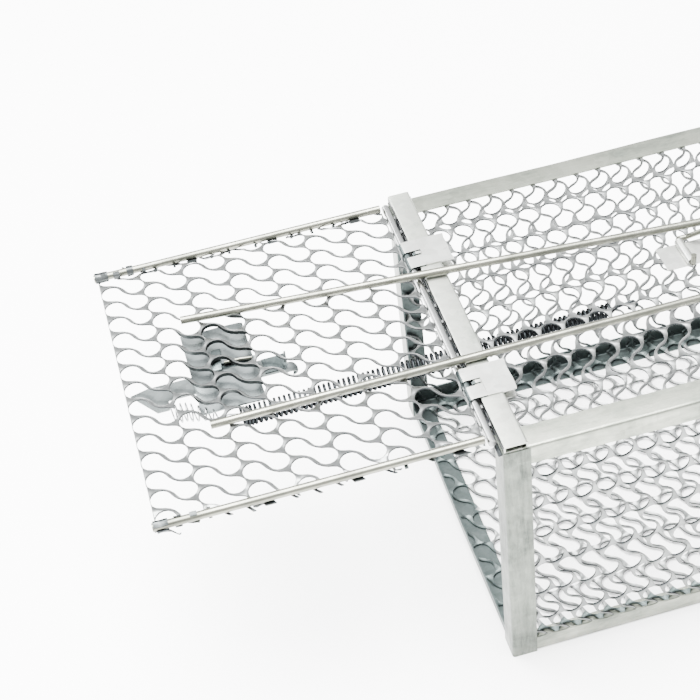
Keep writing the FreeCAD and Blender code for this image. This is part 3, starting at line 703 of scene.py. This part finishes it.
def door_edge_pieces():
    """Rolled corners and cut strand ends that stick out along the side wires, drawn in the painted-shade
    strand zinc.
    """
    for side, side_name, name_seed in ((-1, "near", 2.0), (1, "far", 9.0)):
        shapes = []
        axis_y, axis_z = side * WIRE_Y, DOOR_Z
        # rolled corner at the free end of the wire
        for first, last, begin, sweep in ((-115.5, -110.6, -60, 265), (-108.6, -106.2, -50, 200),
                                          (-103.4, -101.0, -70, 230), (-97.6, -96.4, -60, 150)):
            profile = []
            for i in range(15):
                a = math.radians(begin - sweep * i / 14)
                radius = ROD_RADIUS + 0.28 + 0.1 * math.sin(i * 1.7 + name_seed)
                profile.append((axis_y + side * radius * math.cos(a), axis_z + radius * math.sin(a)))

            def place(p, q, s):
                squeeze = 1 + 0.10 * noise.noise(Vector((s * 0.5, p * 0.4, name_seed)))
                return Vector((s, axis_y + (p - axis_y) * squeeze, axis_z + (q - axis_z) * squeeze))
            shapes.append(bent_sheet(profile, 0.34, (first, last), place, 10))
        # cut strand ends, one or two to a column
        x = -93.0
        count = 0
        while x < -9.0:
            jitter = noise.noise(Vector((x * 0.37, name_seed, 1.0)))
            long = 0.6 + 1.3 * abs(noise.noise(Vector((x * 0.61, name_seed, 6.0))))
            long += 0.9 if count % 3 == 1 else 0
            wide = 0.9 + (2.8 if count % 4 == 2 else 0.0) + 0.6 * abs(jitter)
            lean = 2.2 * jitter + (2.4 if count % 2 else 1.2)
            under = -(ROD_RADIUS + 0.35)
            inner = [(-1.2, 0.1), (0.4, -0.2)] if side > 0 else []
            outer = [(2.4, under), (4.4, under - 0.1), (4.2 + long, under + 0.5 * jitter)]
            run = rounded(inner + outer, 0.8, 3)

            def place(p, q, s, x=x, lean=lean):
                return Vector((x + s + lean * max(0.0, p - 2.0) * 0.4, side * (WIRE_Y - 3.1 + p), axis_z + q))
            shapes.append(bent_sheet(run, 0.5, (-wide / 2, wide / 2), place, 2))
            x += 6.6 + 3.4 * abs(noise.noise(Vector((x * 0.83, name_seed, 3.0))) * 2)
            count += 1
        points, faces = joined(*[outward(s) for s in shapes])
        made = piece(side_name + "_door_edge_ends", points, faces, [SHADED_STRAND], "door", "mesh_steel")


door_edge_pieces()


# ----------------------------------------------------------------- hinge tabs
def hinge_tab(name, middle, seed):
    """Strap round the hinge rod in two rolls, its leaves closed on the crossbar."""
    inner = ROD_RADIUS + 0.05
    mid = inner + SHEET / 2
    top_leaf = [(13.3, HINGE.z + mid), (9.0, HINGE.z + mid), (3.0, HINGE.z + mid)]
    low_leaf = [(3.0, HINGE.z - mid), (13.0, HINGE.z - mid)]
    roll = [(HINGE.x, HINGE.z + mid)]
    for i in range(1, 14):
        a = math.radians(90 + 180 * i / 14)
        roll.append((HINGE.x + mid * math.cos(a), HINGE.z + mid * math.sin(a)))
    roll.append((HINGE.x, HINGE.z - mid))
    wide = 7.5
    notch = 1.5

    def strip(profile, y0, y1, ragged=0.0):
        def place(p, q, s):
            p += ragged * noise.noise(Vector((s * 0.6, seed, 3.0))) if p > 12.0 or p == 3.0 else 0.0
            return Vector((p, s, q)) + Vector((0, 0, 0.12 * noise.noise(Vector((p * 0.1, s * 0.1, seed)))))
        return bent_sheet(profile, SHEET, (middle + y0, middle + y1), place, 6)

    shapes = [strip(top_leaf, -wide, wide, 0.5), strip(low_leaf, -wide, wide, 0.5)]
    for y0, y1 in ((-wide, -notch), (notch, wide)):
        shapes.append(strip([top_leaf[-1]] + roll + [low_leaf[0]], y0, y1))
    hook = [(2.8, HINGE.z + mid), (0.9, HINGE.z + mid + 0.1), (-0.2, HINGE.z + mid - 0.5)]
    shapes.append(strip(hook, -0.55, 0.75))
    # dark sleeve on the rod inside the notch, painted shade
    sleeve_ends = [Vector((HINGE.x, middle + way * (notch + 0.2), HINGE.z)) for way in (-1, 1)]
    sleeve = tube(sleeve_ends, ROD_RADIUS + 0.04, 14, 0.02)
    points, faces = joined(*[outward(shape) for shape in shapes], sleeve)
    # the rolls' front faces, sides and undersides and the notch take DARK_PLATE as painted shade
    made = piece(name + "_strap", points, faces, [TAB_METAL, DARK_PLATE], "cage", "plate_sheet", sharp=35,
                 second=lambda c, n: (c.x < 2.6 and (n.x < -0.45 or abs(n.y) > 0.7 or n.z < 0))
                 or (c.x < 1.0 and abs(c.y - middle) < notch + 0.3))
    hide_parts(name)


hinge_tab("near_hinge_tab", -38.0, 1.0)
hinge_tab("far_hinge_tab", 33.0, 5.0)


# --------------------------------------------------------------------- spring
def spring_piece():
    """Extension spring: open turns at the door, then closed coils; one wire in a lit copy for the turns and a
    shaded copy for the coils, painted light and shade.
    """
    start = Vector((-96.0, -18.8, TOP_Z - 5.0))
    end = Vector((68.0, -12.4, TOP_Z - 6.0))
    along = (end - start).normalized()
    side = along.cross(Vector((0, 0, 1))).normalized()
    up = side.cross(along)
    total = (end - start).length
    coil_from = 18.5

    def turn(place, angle, radius):
        lift = max(0.0, min(1.0, 1 - place / coil_from))
        middle = start + along * place + up * 5.2 * lift + Vector((0, 5.0, 0)) * lift
        return middle + side * math.cos(angle) * radius + up * math.sin(angle) * radius

    hook, place, angle = [], -4.6, 2.4
    while place < 11.0:
        t = max(0.0, min(1.0, (place - 2.0) / 9.0))
        hook.append(turn(place, angle, 3.2 * (1 - t) + 1.5 * t))
        angle += 2 * math.pi / 14
        place += (1.8 if place < 3.0 else 2.4) / 14
    hook += rounded([hook[-1], turn(14.0, 1.2, 1.4), turn(coil_from - 0.5, 1.2, 2.8)], 1.5, 4)[1:]
    coils, place, angle = [], coil_from, math.pi / 2
    while place < total - 8.5:
        coils.append(turn(place, angle, 3.25))
        angle += 2 * math.pi / 14
        place += (1.15 if place < coil_from + 4 else 1.8) / 14
    tail = [coils[-1], start + along * (total - 6.4) + up * 1.6, end + up * 2.6, end + along * 2.4 + up * 0.4,
            end - up * 1.4, end - along * 1.6 - up * 0.4]
    coils += rounded(tail, 1.4, 4)[1:]
    # the closed coils in painted shade, the hook turns in painted light
    dark = tube(coils, 0.53, 6, 0.08)
    bright = tube(hook, 0.30, 6, 0.08)
    points, faces = joined(dark, bright)
    marks = [0] * len(dark[1]) + [1] * len(bright[1])
    made = piece("closing_spring_coils", points, faces, [SPRING_PAINTED_SHADE, SPRING_PAINTED_LIGHT], "spring",
                 "spring_steel", marks, sharp=80)
    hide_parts("closing_spring")
    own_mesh(made)


spring_piece()


# -------------------------------------------------------------- lock on the door
LOCK_LOW, LOCK_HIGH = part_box("lock_plate")
LUG_PAST = 1.0            # the CAD's box is this much longer than the plate, by one lug
PLATE_X0 = LOCK_LOW.x / MM - FRONT_X + LUG_PAST
PLATE_X1 = LOCK_HIGH.x / MM - FRONT_X
PLATE_Y0, PLATE_Y1 = LOCK_LOW.y / MM, LOCK_HIGH.y / MM
PLATE_TOP = TOP_Z - 1.3
SLOT_X0, SLOT_X1, SLOT_Y0, SLOT_Y1 = PLATE_X0 + 9.6, PLATE_X1 - 1.0, 2.9, 6.6
TONGUE_LOW, TONGUE_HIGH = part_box("lock_tongue")
TONGUE_HALF = 4.0
TONGUE_Y = (TONGUE_HIGH.y / MM) - TONGUE_HALF
TONGUE_TIP = TONGUE_LOW.x / MM - FRONT_X
TONGUE_TAIL = TONGUE_HIGH.x / MM - FRONT_X - 4.0
TONGUE_Z = TOP_Z - 2.0 - SHEET / 2


def lock_plate_piece():
    """Slotted plate under the door mesh, raised at the tongue's mouth."""
    def holed(x, y):
        return SLOT_X0 < x < SLOT_X1 and SLOT_Y0 < y < SLOT_Y1

    def surface(x, y):
        mouth = math.exp(-((y - TONGUE_Y) / 5.2) ** 2) * max(0.0, 1 - (x - PLATE_X0) / 7.0) ** 1.5
        curl = max(0.0, (x - PLATE_X1 + 2.0) / 2.0) ** 2 * 0.5
        return PLATE_TOP + 1.5 * mouth - curl + 0.25 * noise.noise(Vector((x * 0.09, y * 0.09, 3.0)))

    xs = sorted({PLATE_X0 + (PLATE_X1 - PLATE_X0) * i / 26 for i in range(27)} | {SLOT_X0, SLOT_X1})
    ys = sorted({PLATE_Y0 + (PLATE_Y1 - PLATE_Y0) * i / 36 for i in range(37)} | {SLOT_Y0, SLOT_Y1})
    points, faces, index = [], [], {}
    for layer, drop in enumerate((0.0, SHEET)):
        for i, x in enumerate(xs):
            for j, y in enumerate(ys):
                index[layer, i, j] = len(points)
                points.append(Vector((x, y, surface(x, y) - drop)))
    cells = {(i, j) for i in range(len(xs) - 1) for j in range(len(ys) - 1)
             if not holed((xs[i] + xs[i + 1]) / 2, (ys[j] + ys[j + 1]) / 2)}
    for i, j in cells:
        quad = [(i, j), (i + 1, j), (i + 1, j + 1), (i, j + 1)]
        faces.append(tuple(index[0, a, b] for a, b in quad))
        faces.append(tuple(index[1, a, b] for a, b in reversed(quad)))
        for k, (di, dj) in enumerate(((0, -1), (1, 0), (0, 1), (-1, 0))):
            if (i + di, j + dj) not in cells:
                a, b = quad[k], quad[(k + 1) % 4]
                faces.append((index[0, a[0], a[1]], index[1, a[0], a[1]],
                              index[1, b[0], b[1]], index[0, b[0], b[1]]))
    plate = piece("lock_plate_sheet", points, faces, [PLATE_METAL], "door", "plate_sheet")
    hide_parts("lock_plate")


def lock_pocket_pieces():
    """Dark pocket under the slot as painted shade, the lug bent up beside it in the same dark zinc and the
    rolled rib over it.
    """
    pocket = [(SLOT_Y0 - 1.0, PLATE_TOP - SHEET - 0.2), (SLOT_Y0 - 0.2, PLATE_TOP - 1.25),
              (SLOT_Y1 + 0.2, PLATE_TOP - 1.25), (SLOT_Y1 + 1.0, PLATE_TOP - SHEET - 0.2)]
    under_slot = bent_sheet(rounded(pocket, 0.6, 3), 0.4, (SLOT_X0 - 1.5, SLOT_X1 + 1.5),
                            lambda p, q, s: Vector((s, p, q)), 6)
    lug = [(1.6, PLATE_TOP + 0.2), (2.4, PLATE_TOP + 1.5), (7.0, PLATE_TOP + 2.1),
           (12.0, PLATE_TOP + 1.9), (13.4, PLATE_TOP + 0.1)]
    beside = bent_sheet(rounded(lug, 0.8, 4), 0.6, (PLATE_X0 + 8.6, PLATE_X0 + 11.8),
                        lambda p, q, s: Vector((s + 0.14 * (p - 8), p, q)), 4)
    points, faces = joined(outward(under_slot), outward(beside))
    piece("lock_pocket", points, faces, [DARK_PLATE], "door", "plate_sheet")

    rib = tube([Vector((SLOT_X0 + 2.8, SLOT_Y1 - 0.4, PLATE_TOP + 0.55)),
                Vector((SLOT_X1 - 4.0, SLOT_Y1 - 0.6, PLATE_TOP + 0.6)),
                Vector((SLOT_X1 + 0.6, SLOT_Y1 - 1.0, PLATE_TOP + 0.3))], 0.62, 12, 0.2)
    piece("lock_rib", *rib, [WIRE_METAL], "door", "wire_steel")


def tongue_strip(near, far):
    """Flat strip with a slanted tip and a barb on the near side, its top edge eased."""
    outline = [(TONGUE_TIP, far - 1.6), (TONGUE_TIP + 6.5, far), (TONGUE_TAIL - 0.3, far),
               (TONGUE_TAIL - 0.3, near), (TONGUE_TIP + 12.4, near),
               (TONGUE_TIP + 12.2, near - 4.6), (TONGUE_TIP + 7.8, near - 4.6)]
    loop = rounded(outline + [outline[0]], 0.45, 3)[:-1]
    points, faces, n = [], [], len(loop)
    for offset, z in ((0.0, TONGUE_Z - SHEET / 2), (0.0, TONGUE_Z + SHEET / 2 - 0.12),
                      (0.14, TONGUE_Z + SHEET / 2)):
        for k, p in enumerate(loop):
            a, b = loop[k - 1], loop[(k + 1) % n]
            d = (Vector(b) - Vector(a)).normalized()
            q = Vector(p) + Vector((d.y, -d.x)) * -offset
            points.append(Vector((q.x, q.y, z)))
    for layer in range(2):
        for k in range(n):
            m = (k + 1) % n
            faces.append((layer * n + k, layer * n + m, (layer + 1) * n + m, (layer + 1) * n + k))
    cap = delaunay_2d_cdt([Vector(p) for p in loop], [], [list(range(n))], 1, 1e-5)
    for f in cap[2]:
        ids = [cap[3][i][0] for i in f]
        faces.append(tuple(i + 2 * n for i in ids))
        faces.append(tuple(reversed(ids)))
    return points, faces


def lock_tongue_piece():
    """Sliding tongue: the strip, its tail turned up, a rounded foot and a dark strip along the tail; that
    strip and the tail's faces past the plate's edge are painted shade.
    """
    near, far = TONGUE_Y - TONGUE_HALF, TONGUE_Y + TONGUE_HALF
    tail = [(TONGUE_TAIL - 2.2, TONGUE_Z), (TONGUE_TAIL + 0.1, TONGUE_Z + 0.1),
            (TONGUE_TAIL + 0.5, TONGUE_Z + 1.3)]
    upright = bent_sheet(rounded(tail, 0.8, 4), SHEET, (near - 0.4, far + 0.6),
                         lambda p, q, s: Vector((p + 0.10 * (s - TONGUE_Y), s, q)), 6)
    scoop = []
    for i in range(13):
        a = math.radians(-70 + 200 * i / 12)
        scoop.append((TONGUE_TAIL + 1.2 + 2.4 * math.cos(a), TONGUE_Z + 0.2 + 1.0 * math.sin(a)))
    foot = bent_sheet(scoop, 0.5, (near - 2.0, near + 2.6),
                      lambda p, q, s: Vector((p - 0.12 * (s - near) ** 2, s, q)), 8)
    # dark strip along the tail, painted shade past the plate's edge
    tail_shade_strip = bent_sheet([(PLATE_X1 + 2.3, TONGUE_Z + 0.5), (TONGUE_TAIL - 1.2, TONGUE_Z + 0.55)], 0.4,
                          (near + 0.6, far - 0.1), lambda p, q, s: Vector((p, s, q)), 6)
    shapes = [outward(shape) for shape in (tongue_strip(near, far), upright, foot, tail_shade_strip)]
    points, faces = joined(*shapes)
    tongue_piece = piece("lock_tongue_strip", points, faces, [TONGUE_METAL, DARK_PLATE],
                         "tongue", "plate_sheet",
                         second=lambda c, n: PLATE_X1 + 0.3 < c.x < TONGUE_TAIL + 0.4 and c.y > near + 0.3)
    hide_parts("lock_tongue")


lock_plate_piece()
lock_pocket_pieces()
lock_tongue_piece()


# ------------------------------------------------- CAD nodes that stay as they are
for names, material in ((("near_door_wire", "far_door_wire", "lever"), WIRE_METAL),
                        (("hinge_rod",), ROD_METAL),
                        (("trigger_plate", "bait_hook_bracket"), TAB_METAL),
                        (("hold_down_arm", "bait_hook"), WIRE_METAL)):
    for name in names:
        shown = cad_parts[name]
        shown.data.materials.clear()
        shown.data.materials.append(material)

# ------------------------------------------------------- camera, floor and light
camera = bpy.data.objects.new("camera", bpy.data.cameras.new("camera"))
bpy.context.scene.collection.objects.link(camera)
CAMERA_PLACE = Vector((-0.18135, -0.41620, 0.51534))
CAMERA_RIGHT = Vector((0.961652, -0.2566, -0.096857))
CAMERA_FORWARD = Vector((0.11964, 0.710228, -0.693731))
up = CAMERA_RIGHT.cross(CAMERA_FORWARD).normalized()
turn = Matrix((CAMERA_RIGHT, up, -CAMERA_FORWARD)).transposed()
camera.matrix_world = Matrix.Translation(CAMERA_PLACE) @ turn.to_4x4()
camera.data.lens = 84.66
camera.data.sensor_width = 36.0
camera.data.clip_start = 0.02
camera.data.clip_end = 50
bpy.context.scene.camera = camera

bpy.ops.mesh.primitive_plane_add(size=8, location=(0, 0, 0))
floor = bpy.context.object
floor.name = "floor"
paper = bpy.data.materials.new("white_floor")
paper.use_nodes = True
paper.node_tree.nodes["Principled BSDF"].inputs["Base Color"].default_value = (0.93, 0.93, 0.925, 1)
paper.node_tree.nodes["Principled BSDF"].inputs["Roughness"].default_value = 0.9
floor.data.materials.append(paper)

world = bpy.data.worlds.new("studio")
bpy.context.scene.world = world
world.use_nodes = True
world.node_tree.nodes["Background"].inputs["Color"].default_value = (0.97, 0.985, 1.0, 1)
world.node_tree.nodes["Background"].inputs["Strength"].default_value = 2.6


def soft_light(name, place, aim, size, power):
    lamp = bpy.data.lights.new(name, "AREA")
    lamp.shape = "DISK"
    lamp.size = size
    lamp.energy = power
    made = bpy.data.objects.new(name, lamp)
    bpy.context.scene.collection.objects.link(made)
    made.location = place
    made.rotation_euler = (Vector(aim) - Vector(place)).to_track_quat("-Z", "Y").to_euler()
    return made


soft_light("overhead", (-0.3, 0.1, 1.9), (0, 0, 0), 1.6, 420)
soft_light("far_left", (-1.4, 1.5, 1.2), (0, 0, 0), 0.9, 60)
